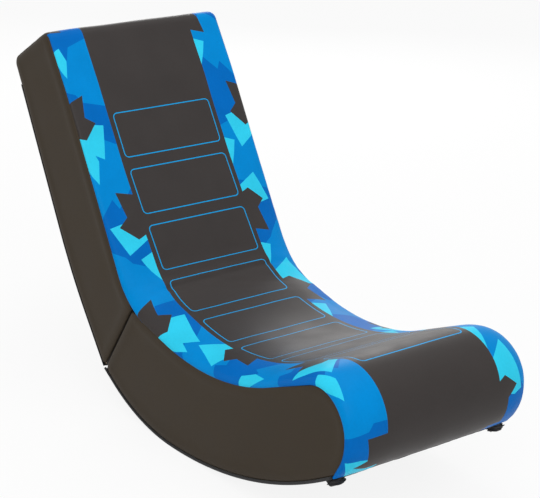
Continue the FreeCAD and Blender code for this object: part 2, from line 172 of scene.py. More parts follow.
def seat_outline(top, base, end):
    corners = [(TOE, 0), (FRONT_ROCKER, FRONT_ROCKER_RADIUS), (REAR_ROCKER, REAR_ROCKER_RADIUS),
               (SEAT_HEEL, 0), (FOLD_TOP, 0), closing_bend(DIP, SEAT_SLOPE), (DIP, DIP_RADIUS),
               (NOSE, NOSE_RADIUS), (SHIN, SHIN_RADIUS)]
    return with_radii(inset(corners, [base] * 3 + [end] + [top] * 5), {0: 9.0, 3: 18.0, 4: 5.0})


def back_outline(top, rear, end):
    corners = [(TOP_REAR, TOP_REAR_RADIUS), (TOP_FRONT, TOP_FRONT_RADIUS), (HEAD, HEAD_RADIUS),
               closing_bend(HEAD, BACK_SLOPE), (FOLD_TOP, 0), (BACK_HEEL, 0), (WAIST, WAIST_RADIUS)]
    return with_radii(inset(corners, [top] * 4 + [end] + [rear] * 2), {4: 5.0, 5: 7.0})


def polyline(corners, closed, spacing):
    """Points along straight runs with tangent arcs at the corners."""
    arc_step, too_close = 0.1, 0.05
    count = len(corners)
    bends = []
    for i in range(count):
        p, radius = corners[i]
        if radius <= 0 or (not closed and i in (0, count - 1)):
            bends.append((p, None, p))
            continue
        d = unit(corners[i - 1][0], p)
        e = unit(p, corners[(i + 1) % count][0])
        turn = math.atan2(d[0] * e[1] - d[1] * e[0], d[0] * e[0] + d[1] * e[1])
        run = radius * math.tan(abs(turn) / 2)
        start = (p[0] - d[0] * run, p[1] - d[1] * run)
        end = (p[0] + e[0] * run, p[1] + e[1] * run)
        side = math.copysign(radius, turn)
        bends.append((start, ((start[0] - d[1] * side, start[1] + d[0] * side), turn), end))
    points = []
    for i in range(count):
        start, arc, end = bends[i]
        if arc is None:
            points.append(start)
        else:
            centre, turn = arc
            by_length = int(abs(turn) * corners[i][1] / spacing)
            steps = max(3, int(math.ceil(abs(turn) / arc_step)), by_length)
            r0 = (start[0] - centre[0], start[1] - centre[1])
            for k in range(steps + 1):
                c, s = math.cos(turn * k / steps), math.sin(turn * k / steps)
                points.append((centre[0] + r0[0] * c - r0[1] * s, centre[1] + r0[0] * s + r0[1] * c))
        if closed or i < count - 1:
            after = bends[(i + 1) % count][0]
            steps = max(1, int(math.dist(end, after) / spacing))
            points += [between(end, after, k / steps) for k in range(1, steps)]
    keep = spaced(points, too_close)
    if closed and math.dist(keep[0], keep[-1]) < too_close:
        keep.pop()
    return np.array(keep)


class Line:
    """An open side profile by its length, with outward normals to the left."""

    def __init__(self, corners):
        self.points = polyline(corners, False, 1.0)
        gaps = np.hypot(*np.diff(self.points, axis=0).T)
        self.lengths = np.r_[0, np.cumsum(gaps)]
        self.length = self.lengths[-1]

    def at(self, s):
        s = np.asarray(s, float)
        return np.stack([np.interp(s, self.lengths, self.points[:, k]) for k in (0, 1)], -1)

    def normal(self, s):
        reach = 1.5
        d = self.at(np.clip(s + reach, 0, self.length)) - self.at(np.clip(s - reach, 0, self.length))
        d /= np.linalg.norm(d, axis=-1, keepdims=True)
        return np.stack([-d[..., 1], d[..., 0]], -1)

    def near(self, y, z):
        """The length at which the profile comes nearest to a point."""
        return float(self.lengths[np.hypot(self.points[:, 0] - y, self.points[:, 1] - z).argmin()])


front = Line([(TOE, 0), (SHIN, SHIN_RADIUS), (NOSE, NOSE_RADIUS), (DIP, DIP_RADIUS), (FOLD, FOLD_RADIUS),
              (HEAD, HEAD_RADIUS), (TOP_FRONT, TOP_FRONT_RADIUS), (TOP_REAR, TOP_REAR_RADIUS),
              (WRAP_END, 0)])
rear = Line([(WRAP_END, 0), (WAIST, WAIST_RADIUS), (HEEL, 0)])
underside = Line([(TAIL, 0), (REAR_ROCKER, REAR_ROCKER_RADIUS), (FRONT_ROCKER, FRONT_ROCKER_RADIUS),
                  (TOE, 0)])


# Mesh helpers
def new_piece(name, verts, faces, mats, body=None):
    """A smooth shaded piece from points in mm."""
    mesh = bpy.data.meshes.new(name)
    mesh.from_pydata([tuple(v) for v in np.asarray(verts) * MM], [], [tuple(f) for f in faces])
    mesh.validate()
    mesh.update()
    mesh.shade_smooth()
    for mat in mats:
        mesh.materials.append(mat)
    piece = bpy.data.objects.new(name, mesh)
    bpy.context.scene.collection.objects.link(piece)
    if body:
        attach(piece, body)
    return piece


def set_uv(mesh, uv):
    """Texture coordinates in metres, one for each vertex."""
    layer = mesh.uv_layers.new(name="UVMap")
    index = np.empty(len(mesh.loops), int)
    mesh.loops.foreach_get("vertex_index", index)
    layer.data.foreach_set("uv", uv[index].astype(np.float32).ravel())


def merged(piece):
    """The piece with doubled points joined and its faces turned outwards."""
    bm = bmesh.new()
    bm.from_mesh(piece.data)
    bmesh.ops.remove_doubles(bm, verts=bm.verts, dist=1e-5)
    bmesh.ops.recalc_face_normals(bm, faces=bm.faces)
    bm.to_mesh(piece.data)
    bm.free()
    piece.data.shade_smooth()
    return piece


def turned(face, flip):
    return face[::-1] if flip else face


def inside(polygon, points):
    """Which points lie in the polygon."""
    x, y = points[:, 0], points[:, 1]
    found = np.zeros(len(points), bool)
    p = np.asarray(polygon, float)
    q = np.roll(p, -1, axis=0)
    for (ax, ay), (bx, by) in zip(p, q):
        cut = (ay > y) != (by > y)
        if cut.any():
            at = (bx - ax) * (y - ay) / (by - ay + 1e-12) + ax
            found ^= cut & (x < at)
    return found


def divided(polygon, spacing):
    """The polygon's outline with points no further apart than spacing."""
    points = []
    for i, a in enumerate(polygon):
        b = polygon[(i + 1) % len(polygon)]
        steps = max(1, int(math.ceil(math.dist(a, b) / spacing)))
        points += [between(a, b, k / steps) for k in range(steps)]
    return points


# Materials
def new_node(tree, kind, inputs=None, **settings):
    """A shader node. An input is given as a value, or as an output that is linked to it."""
    node = tree.nodes.new("ShaderNode" + kind)
    for key, value in settings.items():
        setattr(node, key, value)
    for key, value in (inputs or {}).items():
        if isinstance(value, bpy.types.NodeSocket):
            tree.links.new(value, node.inputs[key])
        else:
            node.inputs[key].default_value = value
    return node


def material(name, colour, kind="pu", rough=0.45, specular=0.5, bump=0.25, grain=1.0, variation=0.05,
             metallic=0.0, sheen=0.0):
    """A material of one kind: pu, cloth, wood or metal."""
    mat = bpy.data.materials.new(name)
    mat.use_nodes = True
    tree = mat.node_tree
    tree.nodes.clear()
    where = new_node(tree, "TexCoord").outputs["UV" if kind in ("pu", "cloth") else "Object"]

    def mapped(scale, stretch=(1, 1, 1)):
        return new_node(tree, "Mapping", {"Scale": [scale * v for v in stretch], "Vector": where}).outputs[0]

    def speckle(scale, detail, stretch=(1, 1, 1)):
        inputs = {"Scale": 1.0, "Detail": detail, "Vector": mapped(scale, stretch)}
        return new_node(tree, "TexNoise", inputs).outputs["Fac"]

    def waves(scale, direction, distortion, detail=2.0, stretch=(1, 1, 1)):
        inputs = {"Scale": 1.0, "Distortion": distortion, "Detail": detail, "Vector": mapped(scale, stretch)}
        return new_node(tree, "TexWave", inputs, bands_direction=direction).outputs["Fac"]

    def ranged(value, low, high, start=0.3, end=0.7):
        inputs = {"Value": value, "From Min": start, "From Max": end, "To Min": low, "To Max": high}
        return new_node(tree, "MapRange", inputs).outputs[0]

    def tinted(value):
        inputs = {"Factor": 1.0, 6: (*colour, 1), 7: value}
        return new_node(tree, "Mix", inputs, data_type="RGBA", blend_type="MULTIPLY").outputs[2]

    def bumped(height, strength, distance, **after):
        inputs = {"Strength": strength, "Distance": distance, "Height": height, **after}
        return new_node(tree, "Bump", inputs).outputs[0]

    def combined(operation, a, b):
        return new_node(tree, "Math", {0: a, 1: b}, operation=operation).outputs[0]

    if kind == "pu":
        # leather print: small pebbles with finer pores, and a slow change of gloss
        cells = new_node(tree, "TexVoronoi", {"Scale": 1.0, "Vector": mapped(720.0)},
                         feature="DISTANCE_TO_EDGE").outputs["Distance"]
        height = combined("ADD", ranged(cells, 0.0, 1.0, 0.0, 0.35),
                          combined("MULTIPLY", speckle(2600.0, 2.0), 0.5))
        normal = bumped(height, bump, 0.00012, Normal=bumped(speckle(38.0, 4.0), 0.05, 0.0012))
        blotch = speckle(16.0, 5.0)
        tone = combined("ADD", ranged(blotch, -variation, variation),
                        ranged(speckle(240.0, 3.0), 1 - variation / 2, 1 + variation / 2))
        gloss = combined("ADD", ranged(blotch, -0.05, 0.05), ranged(cells, rough + 0.06, rough, 0.0, 0.3))
    elif kind == "cloth":
        # woven or felted cloth
        weave = combined("MAXIMUM", waves(170.0 * grain, "X", 0.6), waves(170.0 * grain, "Y", 0.6))
        fuzz = speckle(900.0, 4.0)
        height = combined("ADD", weave, fuzz)
        normal = bumped(height, bump, 0.0003)
        tone = combined("ADD", ranged(speckle(14.0, 4.0), -variation, variation),
                        ranged(height, 0.8, 1.2, 0.3, 1.5))
        gloss = ranged(fuzz, rough - 0.05, rough + 0.08)
    elif kind == "wood":
        # rings and fibres, and the plies at the edges
        rings = waves(16.0, "Z", 7.0, 3.0, (0.3, 0.3, 2.0))
        fibre = speckle(60.0, 5.0, (1.0, 1.0, 14.0))
        plies = waves(200.0, "X", 0.0)
        tone = combined("MULTIPLY", ranged(rings, 0.78, 1.08, 0.0, 1.0), ranged(fibre, 0.85, 1.1))
        tone = combined("MULTIPLY", tone, ranged(plies, 0.93, 1.03, 0.0, 1.0))
        normal = bumped(fibre, bump, 0.0004)
        gloss = ranged(fibre, rough - 0.08, rough + 0.1)
    else:
        # brushed metal
        brush = speckle(40.0, 4.0, (30.0, 1.0, 1.0))
        spots = speckle(90.0, 5.0)
        tone = ranged(spots, 0.82, 1.08)
        normal = bumped(brush, bump, 0.0001)
        gloss = combined("ADD", ranged(brush, -0.06, 0.08), ranged(spots, rough - 0.05, rough + 0.08))
    shader = new_node(tree, "BsdfPrincipled", {
        "Base Color": tinted(tone), "Roughness": gloss, "Normal": normal, "Metallic": metallic,
        "Specular IOR Level": specular, "Sheen Weight": sheen})
    new_node(tree, "OutputMaterial", {0: shader.outputs[0]})
    return mat


black_pu = material("pu_black", (0.040, 0.0345, 0.033), rough=0.4, specular=0.13, bump=0.16)
dark_blue = material("pu_dark_blue", (0.0, 0.14, 0.50), rough=0.38, specular=0.04, bump=0.15)
mid_blue = material("pu_mid_blue", (0.0, 0.24, 0.63), rough=0.38, specular=0.04, bump=0.15)
cyan_pu = material("pu_cyan", (0.03, 0.61, 0.85), rough=0.38, specular=0.05, bump=0.15)
line_blue = material("pu_line_blue", (0.0, 0.35, 0.76), rough=0.4, specular=0.06, bump=0.15)
side_pu = material("pu_brown", (0.050, 0.0385, 0.0265), rough=0.44, specular=0.07, bump=0.2)
cloth_black = material("cloth_black", (0.018, 0.0175, 0.0185), "cloth", rough=0.8, specular=0.25, bump=0.5,
                       sheen=0.15)
ply = material("plywood", (0.56, 0.39, 0.23), "wood", rough=0.55, bump=0.3)
steel = material("zinc_steel", (0.56, 0.56, 0.55), "metal", rough=0.32, metallic=1.0, bump=0.2)
web = material("webbing_black", (0.03, 0.03, 0.03), "cloth", rough=0.7, grain=3.0, bump=0.6)

# Front cover: one printed sheet over the whole front, by s along the profile and a across it, in mm
FRONT_MATERIALS = (black_pu, dark_blue, mid_blue, cyan_pu, line_blue, side_pu)
BLACK, DARK, MID, CYAN, LINE_BLUE, BROWN = range(6)
FLAT = 195.2
ROLL_WIDTH = 9.0
LIP = 3.0
A_ROLL = FLAT + ROLL_WIDTH * math.pi / 2
A_LIP = A_ROLL + LIP
STRIP_EDGE = 129.0
FRONT_START = 2.0
S_FOLD = front.near(*FOLD_TOP)
# place in the side profile, then the crown, its fullness, the spread and the height of the edge roll there
STATIONS = [((-514, 140), 8, 7, 1.6, 5), ((-541, 200), 17, 8, 4.2, 5.5), ((-530, 270), 25, 8, 5.2, 6),
            ((-472, 301), 27, 7.5, 3.0, 5.5), ((-312, 234), 26, 6.5, 0.8, 5), ((-99, 196), 26, 6.5, 0, 5),
            ((28, 212), 27, 6, 0, 5), ((107, 240), 30, 5, -0.4, 5), ((144, 274), 28, 5, -0.9, 5),
            ((214, 373), 16, 4.5, -1.8, 4.5), ((260, 457), 8.5, 4.5, -2.2, 4),
            ((320, 558), 5, 4.5, -2.4, 3.4), ((413, 704), 4, 4.5, -2.4, 3.2),
            ((544, 632), 3.5, 4.5, -1.6, 3.2)]
AT_THE_END = (4.0, 4.5, -1.6, 3.2)
station_s = [front.near(*station[0]) for station in STATIONS] + [front.length]
fine_s = np.arange(0, front.length, 4.0)
kernel = np.hanning(17)
kernel /= kernel.sum()


def by_station(measure):
    """One measure of the stations, spread smoothly along the front."""
    values = [station[measure + 1] for station in STATIONS] + [AT_THE_END[measure]]
    values = np.pad(np.interp(fine_s, station_s, values), len(kernel) // 2, mode="edge")
    return np.convolve(values, kernel, mode="valid")


crown, fullness, spread, roll_height = (by_station(k) for k in range(4))


def ruffle(s, a):
    """Slow unevenness of the padding, wrinkles by the fold and puckers at the seams."""
    out = []
    for u, v in zip(s.ravel(), a.ravel()):
        slow = 0.7 * noise.noise(Vector((u * 0.011, v * 0.013, 2.5)))
        by_fold = math.exp(-((u - S_FOLD) / 70.0) ** 2)
        wrinkle = 0.9 * by_fold * noise.noise(Vector(((u + 0.35 * v) * 0.055, v * 0.008, 6.1)))
        at_seam = min(max((abs(v) - 172.0) / 26.0, 0.0), 1.0)
        pucker = 0.5 * at_seam * noise.noise(Vector((u * 0.075, 1.0 if v > 0 else 5.0, 0.4)))
        out.append(slow + wrinkle + pucker)
    return np.array(out).reshape(s.shape)


def front_point(s, a):
    """Surface of the front cover in mm."""
    def here(values):
        return np.interp(s, fine_s, values)

    t = np.abs(a)
    angle = np.clip((t - FLAT) / ROLL_WIDTH, 0, math.pi / 2)
    drop = np.maximum(t - A_ROLL, 0)
    x = np.where(t < FLAT, t, FLAT + ROLL_WIDTH * np.sin(angle)) - 0.6 * np.clip(drop / LIP, 0, 1)
    swell = 1 - np.minimum(x / (FLAT + ROLL_WIDTH), 1) ** here(fullness)
    tuck = 0.15 + 0.85 * np.sqrt(np.clip((s - FRONT_START) / 26.0, 0, 1))
    rolled = here(roll_height)
    height = (rolled * np.cos(angle) + np.maximum(here(crown) - rolled, 0) * swell) * tuck - drop
    x = x + here(spread) * np.clip(t / 120.0 - 0.4, 0, 1)
    # crease over the fold, with a soft swelling above it
    bend = s - S_FOLD - 10 - 0.02 * a
    crease = 0.9 * np.exp(-((bend - 14) / 9.0) ** 2) - 2.2 * np.exp(-(bend / 6.0) ** 2)
    height = height + crease * swell + ruffle(s, a) * np.clip(1 - drop / 2.0, 0, 1)
    p = front.at(s) + front.normal(s) * height[..., None]
    return np.stack([np.sign(a) * x, p[..., 0], p[..., 1]], -1)


def front_rows():
    """Places along the front, closer together where it bends."""
    reach, longest, shortest, turn_each = 4.0, 7.0, 1.8, 0.12
    rows = [FRONT_START]
    while rows[-1] < front.length:
        s = rows[-1]
        n0, n1 = front.normal(np.array([s - reach, s + reach]).clip(0, front.length))
        turn = math.acos(max(-1.0, min(1.0, float(n0 @ n1)))) / (2 * reach)
        rows.append(s + min(longest, max(shortest, turn_each / max(turn, 1e-4))))
    rows[-1] = front.length
    return np.array(rows)


def rounded_rect(s0, s1, half_width, radius):
    points = []
    for cs, ca, start in ((s1 - radius, half_width - radius, 0), (s1 - radius, radius - half_width, 270),
                          (s0 + radius, radius - half_width, 180), (s0 + radius, half_width - radius, 90)):
        for turn in range(start + 90, start - 1, -15):
            t = math.radians(turn)
            points.append((cs + radius * math.cos(t), ca + radius * math.sin(t)))
    return points


def clipped(polygon, low, high):
    """The polygon cut to a box."""
    for axis, sign, limit in ((0, 1, low[0]), (0, -1, high[0]), (1, 1, low[1]), (1, -1, high[1])):
        kept = []
        for i, p in enumerate(polygon):
            q = polygon[(i + 1) % len(polygon)]
            dp, dq = sign * (p[axis] - limit), sign * (q[axis] - limit)
            if dp >= 0:
                kept.append(p)
            if (dp >= 0) != (dq >= 0):
                kept.append(between(p, q, dp / (dp - dq)))
        polygon = kept
    return polygon


def splinters(seed, side):
    """Own layout of angular patches along one strip: (colour, polygon) in the order painted."""
    rng = random.Random(seed)
    inner, outer, margin = STRIP_EDGE, A_LIP + 1, 0.5
    width = outer - inner
    patches = []

    def add(colour, polygon, into=0.0):
        cut = clipped(polygon, (FRONT_START + margin, inner - into), (front.length - margin, A_LIP - margin))
        if len(cut) > 2:
            patches.append((colour, [(u, side * v) for u, v in cut]))

    def jag():
        lean = rng.uniform(-40, 40)
        notch = rng.uniform(6, 16) * rng.choice((-1, 1))
        turn = rng.uniform(0.3, 0.6)
        return [(-lean, inner), (lean * (2 * turn - 1) - notch, inner + turn * width),
                (lean * (2 * turn - 1) + notch * 0.7, inner + (turn + 0.12) * width), (lean, outer)]

    # long splinters that cross the strip, dark and mid blue in turn
    s = FRONT_START - 30
    last = [(s + u, v) for u, v in jag()]
    is_mid = False
    while s < front.length + 40:
        s += rng.uniform(88, 135)
        after = [(s + u, v) for u, v in jag()]
        if is_mid:
            add(MID, last + after[::-1])
        last = after
        is_mid = not is_mid
    # black and cyan pieces lie over them in pairs
    s = rng.uniform(60, 90)
    while s < front.length - 20:
        at_centre = rng.random() < 0.5
        base = inner - 14 if at_centre else outer + 8
        way = 1 if at_centre else -1
        long, deep = rng.uniform(38, 50), rng.uniform(56, 70)
        tilt = rng.uniform(-14, 14)
        flip = rng.choice((-1, 1))
        size = rng.uniform(0.75, 1.15)
        reach = way * deep
        black = [(s - long * 0.8, base), (s - long + tilt, base + reach * 0.8),
                 (s + long * 0.1 + tilt, base + reach * 0.66), (s + long * 0.45 + tilt, base + reach),
                 (s + long, base + reach * 0.5), (s + long * 0.75, base)]
        shard = rng.uniform(15, 22)
        cyan = [(s + long * 0.5, base + reach * 0.1), (s + long * 0.3, base + reach * 0.9),
                (s + long * 0.4, base + way * (deep + shard)),
                (s + long + shard, base + way * (deep + shard * 0.3)),
                (s + long + shard * 2.6, base + reach * 0.95), (s + long + shard, base + reach * 0.2)]
        add(CYAN, [(s + flip * (u - s) * size, v) for u, v in cyan])
        add(BLACK, [(s + flip * (u - s), v) for u, v in black], 26 if at_centre else 0)
        # a small loose sliver further on
        t = s + rng.uniform(115, 135)
        v = rng.choice((inner + 6, outer - 10))
        r = rng.uniform(17, 24)
        add(CYAN, [(t - 1.9 * r, v - 0.5 * r), (t + 0.2 * r, v - 1.1 * r), (t + 1.8 * r, v - 0.6 * r),
                   (t + 1.2 * r, v + 1.0 * r), (t - 0.2 * r, v + 0.4 * r)])
        s += rng.uniform(205, 245)
    return patches


rows = front_rows()
half_cross = [0, 12, 24, 36, 48, 60, 72, 84, 96, 108, 118, STRIP_EDGE, 137, 145, 153, 161, 168, 175, 181, 186,
              190.5, FLAT]
half_cross += [FLAT + ROLL_WIDTH * math.radians(t) for t in (11, 22, 34, 46, 58, 70, 80, 90)] + [A_LIP]
across = np.array([-a for a in half_cross[:0:-1]] + half_cross)
patches = splinters(11, 1) + splinters(29, -1)

# printed rectangles: top and bottom in the side profile, then two of one height on the seat
RECTS = [((320, 558), (271, 478)), ((260, 457), (214, 373)), ((203, 353), (144, 274)),
         ((124, 254), (28, 212)), ((0, 206), (-99, 196)), ((-129, 196), (-229, 210))]
LAST_BOTTOM = (-472, 301)
RECT_HALF, RECT_RADIUS, RECT_GAP, LINE_WIDTH = 118.5, 10.0, 27.0, 2.0
spans = [(front.near(*bottom), front.near(*top)) for top, bottom in RECTS]
low = front.near(*LAST_BOTTOM)
tall = (spans[-1][0] - low - 2 * RECT_GAP) / 2
spans += [(low + tall + RECT_GAP, low + 2 * tall + RECT_GAP), (low, low + tall)]
outlines = [(rounded_rect(low, high, RECT_HALF, RECT_RADIUS),
             rounded_rect(low + LINE_WIDTH, high - LINE_WIDTH, RECT_HALF - LINE_WIDTH,
                          RECT_RADIUS - LINE_WIDTH)) for low, high in spans]

# points and edges of the printed outlines, then the grid between them
points, edges = [], []


def add_loop(loop, closed=True):
    start, n = len(points), len(loop)
    points.extend(loop)
    edges.extend((start + i, start + (i + 1) % n) for i in range(n if closed else n - 1))


for _, polygon in patches:
    add_loop(divided(polygon, 5.0))
for outer, inner in outlines:
    add_loop(divided(outer, 6.0))
    add_loop(divided(inner, 6.0))
for a in (-STRIP_EDGE, STRIP_EDGE):
    add_loop([(float(s), a) for s in rows], closed=False)
drawn = kdtree.KDTree(len(points))
for i, (s, a) in enumerate(points):
    drawn.insert((s, a, 0), i)
drawn.balance()
for i, s in enumerate(rows):
    for j, a in enumerate(across):
        if abs(abs(a) - STRIP_EDGE) < 0.01:
            continue
        on_rim = i in (0, len(rows) - 1) or j in (0, len(across) - 1)
        clear = 0.01 if on_rim else (1.6 if abs(a) < FLAT else 0.5)
        if drawn.find((s, a, 0))[2] > clear:
            points.append((float(s), float(a)))
net_points, _, net_faces, _, _, _ = geometry.delaunay_2d_cdt([Vector(p) for p in points], edges, [], 0, 0.02)
flat = np.array([(v[0], v[1]) for v in net_points])
triangles = np.array([f for f in net_faces if len(f) == 3])
area = np.cross(flat[triangles[:, 1]] - flat[triangles[:, 0]], flat[triangles[:, 2]] - flat[triangles[:, 0]])
triangles = triangles[np.abs(area) > 1e-3]
centres = flat[triangles].mean(1)
colours = np.where(np.abs(centres[:, 1]) > STRIP_EDGE, DARK, BLACK)
for colour, polygon in patches:
    colours[inside(polygon, centres)] = colour
for outer, inner in outlines:
    colours[inside(outer, centres) & ~inside(inner, centres)] = LINE_BLUE
over_top = front.near(*TOP_FRONT) + 14.0
colours[(centres[:, 0] > over_top) & (np.abs(centres[:, 1]) > FLAT - 4.0)] = BROWN

# padding under the sheet: the closed rear side of the front piece, as (x, depth) at each row
PADDING = [(-196.0, 13.0), (-100.0, 15.0), (0.0, 15.0), (100.0, 15.0), (196.0, 13.0)]
wide = len(PADDING)
padding_points = []
for s in rows:
    base, normal = front.at(s), front.normal(s)
    padding_points += [(x, *(base - normal * depth)) for x, depth in PADDING]
index_of = {(round(float(s), 2), round(float(a), 2)): i for i, (s, a) in enumerate(flat)}
faces = [tuple(t) for t in triangles]


def under(i, j):
    return len(flat) + i * wide + j


for i in range(len(rows) - 1):
    faces += [(under(i, j), under(i, j + 1), under(i + 1, j + 1), under(i + 1, j)) for j in range(wide - 1)]
    for side, j in ((-1, 0), (1, wide - 1)):
        p, q = (index_of[(round(float(rows[k]), 2), round(side * A_LIP, 2))] for k in (i, i + 1))
        faces.append(turned((p, q, under(i + 1, j), under(i, j)), side > 0))
for i in (0, len(rows) - 1):
    row = sorted((float(a), k) for k, (s, a) in enumerate(flat) if abs(s - rows[i]) < 0.005)
    rim = [k for _, k in row] + [under(i, j) for j in range(wide - 1, -1, -1)]
    faces.append(tuple(turned(rim, i == 0)))
cover = new_piece("front_cover", np.vstack([front_point(flat[:, 0], flat[:, 1]), padding_points]), faces,
                  FRONT_MATERIALS)
set_uv(cover.data, np.vstack([flat, [(s, x) for s in rows for x, _ in PADDING]]) * MM)
face_colours = np.full(len(faces), BLACK, np.int32)
face_colours[:len(colours)] = colours
cover.data.polygons.foreach_set("material_index", face_colours)
cover.data.update()
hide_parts("seat_cover", "back_cover", "seat_padding", "back_padding", "seat_core_foam",
            "back_core_foam")
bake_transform(cover)

# Side covers
PANEL_SPACING = 6.0
PANEL_RINGS = (0.35, 1.1, 2.3, 3.8, 5.6, 8.0, 11.0, 15.0, 20.0, 27.0)
PANEL_GRID = 13.0
PANEL_ROLL = 4.6
PANEL_REAR = 198.2


def depth_from(outline, points):
    """Distance of each point from a closed outline."""
    p, q = outline, np.roll(outline, -1, axis=0)
    d = q - p
    best = np.full(len(points), np.inf)
    for k in range(len(p)):
        t = np.clip(((points - p[k]) @ d[k]) / (d[k] @ d[k]), 0, 1)
        best = np.minimum(best, np.hypot(*(points - p[k] - t[:, None] * d[k]).T))
    return best


def ripple(places, seed):
    return np.array([noise.noise(Vector((y * 0.012 + seed, z * 0.012, seed * 0.37))) for y, z in places])


def notched(outline):
    """The outline cut back beside the fold, so that both panels clear each other when folded."""
    half_turn, reach, clear = math.radians(56.0), 40.0, 1.6

    def over(p):
        far, up = from_fold(p)
        if abs(far) > reach:
            return -1.0
        return up + clear - (abs(far) - PARTING) / math.tan(half_turn)

    kept = []
    for i, p in enumerate(outline):
        q = outline[(i + 1) % len(outline)]
        a, b = over(p), over(q)
        if a <= 0:
            kept.append(tuple(p))
        if (a <= 0) != (b <= 0):
            kept.append(between(p, q, a / (a - b)))
    fine = [kept[0]]
    for p in kept[1:]:
        last = fine[-1]
        steps = max(1, round(math.dist(p, last) / PANEL_SPACING))
        fine += [between(last, p, k / steps) for k in range(1, steps + 1)]
    return np.array(spaced(fine, 0.4))


def side_panel(name, corners, side, body, node, seed):
    """A padded side cover with a rolled edge, a rim and a flat rear side."""
    outline = notched(polyline(corners, True, PANEL_SPACING))
    count = len(outline)
    turn = np.roll(outline, -1, axis=0) - np.roll(outline, 1, axis=0)
    turn /= np.hypot(*turn.T)[:, None]
    inward = np.stack([-turn[:, 1], turn[:, 0]], -1)
    net = [tuple(p) for p in outline]
    for depth in PANEL_RINGS:
        ring = outline + inward * depth
        keep = (depth_from(outline, ring) > depth * 0.93) & inside(outline, ring)
        if depth > 9:
            keep &= np.arange(count) % 2 == 0
        net += [tuple(p) for p in ring[keep]]
    low, high = outline.min(0), outline.max(0)
    grid = np.array([(y, z) for y in np.arange(low[0], high[0], PANEL_GRID)
                     for z in np.arange(low[1], high[1], PANEL_GRID)])
    grid = grid[inside(outline, grid)]
    net += [tuple(p) for p in grid[depth_from(outline, grid) > 33.0]]
    rim_edges = [(i, (i + 1) % count) for i in range(count)]
    found, _, tris, _, _, _ = geometry.delaunay_2d_cdt([Vector(p) for p in net], rim_edges, [], 1, 0.01)
    found = np.array([(v[0], v[1]) for v in found])
    middles = np.array([found[list(f)].mean(0) for f in tris])
    tris = [tuple(f) for f, keep in zip(tris, inside(outline, middles)) if keep]
    depth = depth_from(outline, found)
    x = HALF + 0.3 - PANEL_ROLL
    x += np.sqrt(np.maximum(PANEL_ROLL ** 2 - (PANEL_ROLL - np.minimum(depth, PANEL_ROLL)) ** 2, 0))
    x += 1.3 * np.exp(-((depth - 13.0) / 8.0) ** 2) * np.clip(depth / 6.0, 0, 1)
    x += 0.5 * ripple(found, seed) * np.clip(depth / 25.0, 0, 1)
    shown = np.stack([side * x, found[:, 0], found[:, 1]], -1)
    hidden = np.stack([np.full(count, side * PANEL_REAR), outline[:, 0], outline[:, 1]], -1)
    verts = np.vstack([shown, hidden])
    base = len(shown)
    rim = [int(np.hypot(*(found - p).T).argmin()) for p in outline]
    faces = [turned(f, side < 0) for f in tris]
    for i in range(count):
        j = (i + 1) % count
        faces.append(turned((rim[j], rim[i], base + i, base + j), side < 0))
    faces.append(turned(tuple(range(base, base + count)), side > 0))
    piece = new_piece(name, verts, faces, [side_pu], body)
    set_uv(piece.data, verts[:, 1:] * MM)
    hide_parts(node)


for side, word in ((-1, "left"), (1, "right")):
    side_panel("seat_side_" + word, seat_outline(0.8, 5.2, PARTING), side, "seat",
               "seat_side_cover_" + word, 3.1 + side)
    side_panel("back_side_" + word, back_outline(0.8, 3.2, PARTING), side, "back",
               "back_side_cover_" + word, 7.7 + side)


# Cloth sheets
def cloth_sheet(name, line, s0, s1, section, thick, wave, body, node):
    """Cloth along a side profile. section is [(x, height)] for one half from the middle outwards."""
    spacing, wave_scale, wave_end, edge = 8.0, 0.011, 203.0, 203.5
    s = np.linspace(s0, s1, max(3, int((s1 - s0) / spacing)))
    full = [(-x, h) for x, h in section[:0:-1]] + list(section)
    n = len(full)
    outer, inner = [], []
    for place, base, normal in zip(s, line.at(s), line.normal(s)):
        for x, h in full:
            lift = h
            if abs(x) < wave_end:
                lift += wave * noise.noise(Vector((place * wave_scale, x * wave_scale * 1.7, 4.2)))
            turned_up = abs(x) > edge
            inner_x = x - math.copysign(thick, x) if turned_up else x
            inner_lift = lift if turned_up else lift - thick
            outer.append((x, *(base + normal * lift)))
            inner.append((inner_x, *(base + normal * inner_lift)))
    m = len(outer)
    faces = []
    for i in range(len(s) - 1):
        for j in range(n - 1):
            a, b, c, d = i * n + j, i * n + j + 1, (i + 1) * n + j + 1, (i + 1) * n + j
            faces += [(a, b, c, d), (m + a, m + d, m + c, m + b)]
        a, d = i * n, (i + 1) * n
        b, c = a + n - 1, d + n - 1
        faces += [(a, d, m + d, m + a), (b, m + b, m + c, c)]
    for j in range(n - 1):
        k = (len(s) - 1) * n + j
        faces += [(j, m + j, m + j + 1, j + 1), (k, k + 1, m + k + 1, m + k)]
    piece = new_piece(name, outer + inner, faces, [cloth_black], body)
    set_uv(piece.data, np.array([(x, place) for _ in (0, 1) for place in s for x, _ in full]) * MM)
    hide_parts(node)


HALF_X = [0, 30, 60, 90, 120, 145, 165, 180, 192, 199]
rear_end = rear.near(*BACK_HEEL) - 3.2
rear_section = [(x, 0.4) for x in HALF_X] + [(203.6, -0.3), (205.2, -1.4), (205.6, -3.0)]
cloth_sheet("back_rear_sheet", rear, 0.5, rear_end, rear_section, 1.1, 0.9, "back", "back_rear_cloth")
base_start = underside.near(*SEAT_HEEL) + 3.5
base_end = underside.length - 1.0
base_section = [(x, 0.0) for x in HALF_X] + [(203.0, 0.0), (205.6, -0.4), (206.8, -2.2), (206.9, -4.2),
                                            (206.2, -5.6), (204.8, -5.9)]
cloth_sheet("rocker_base_sheet", underside, base_start, base_end, base_section, 1.4, 0.0, "seat",
            "rocker_base_cloth")


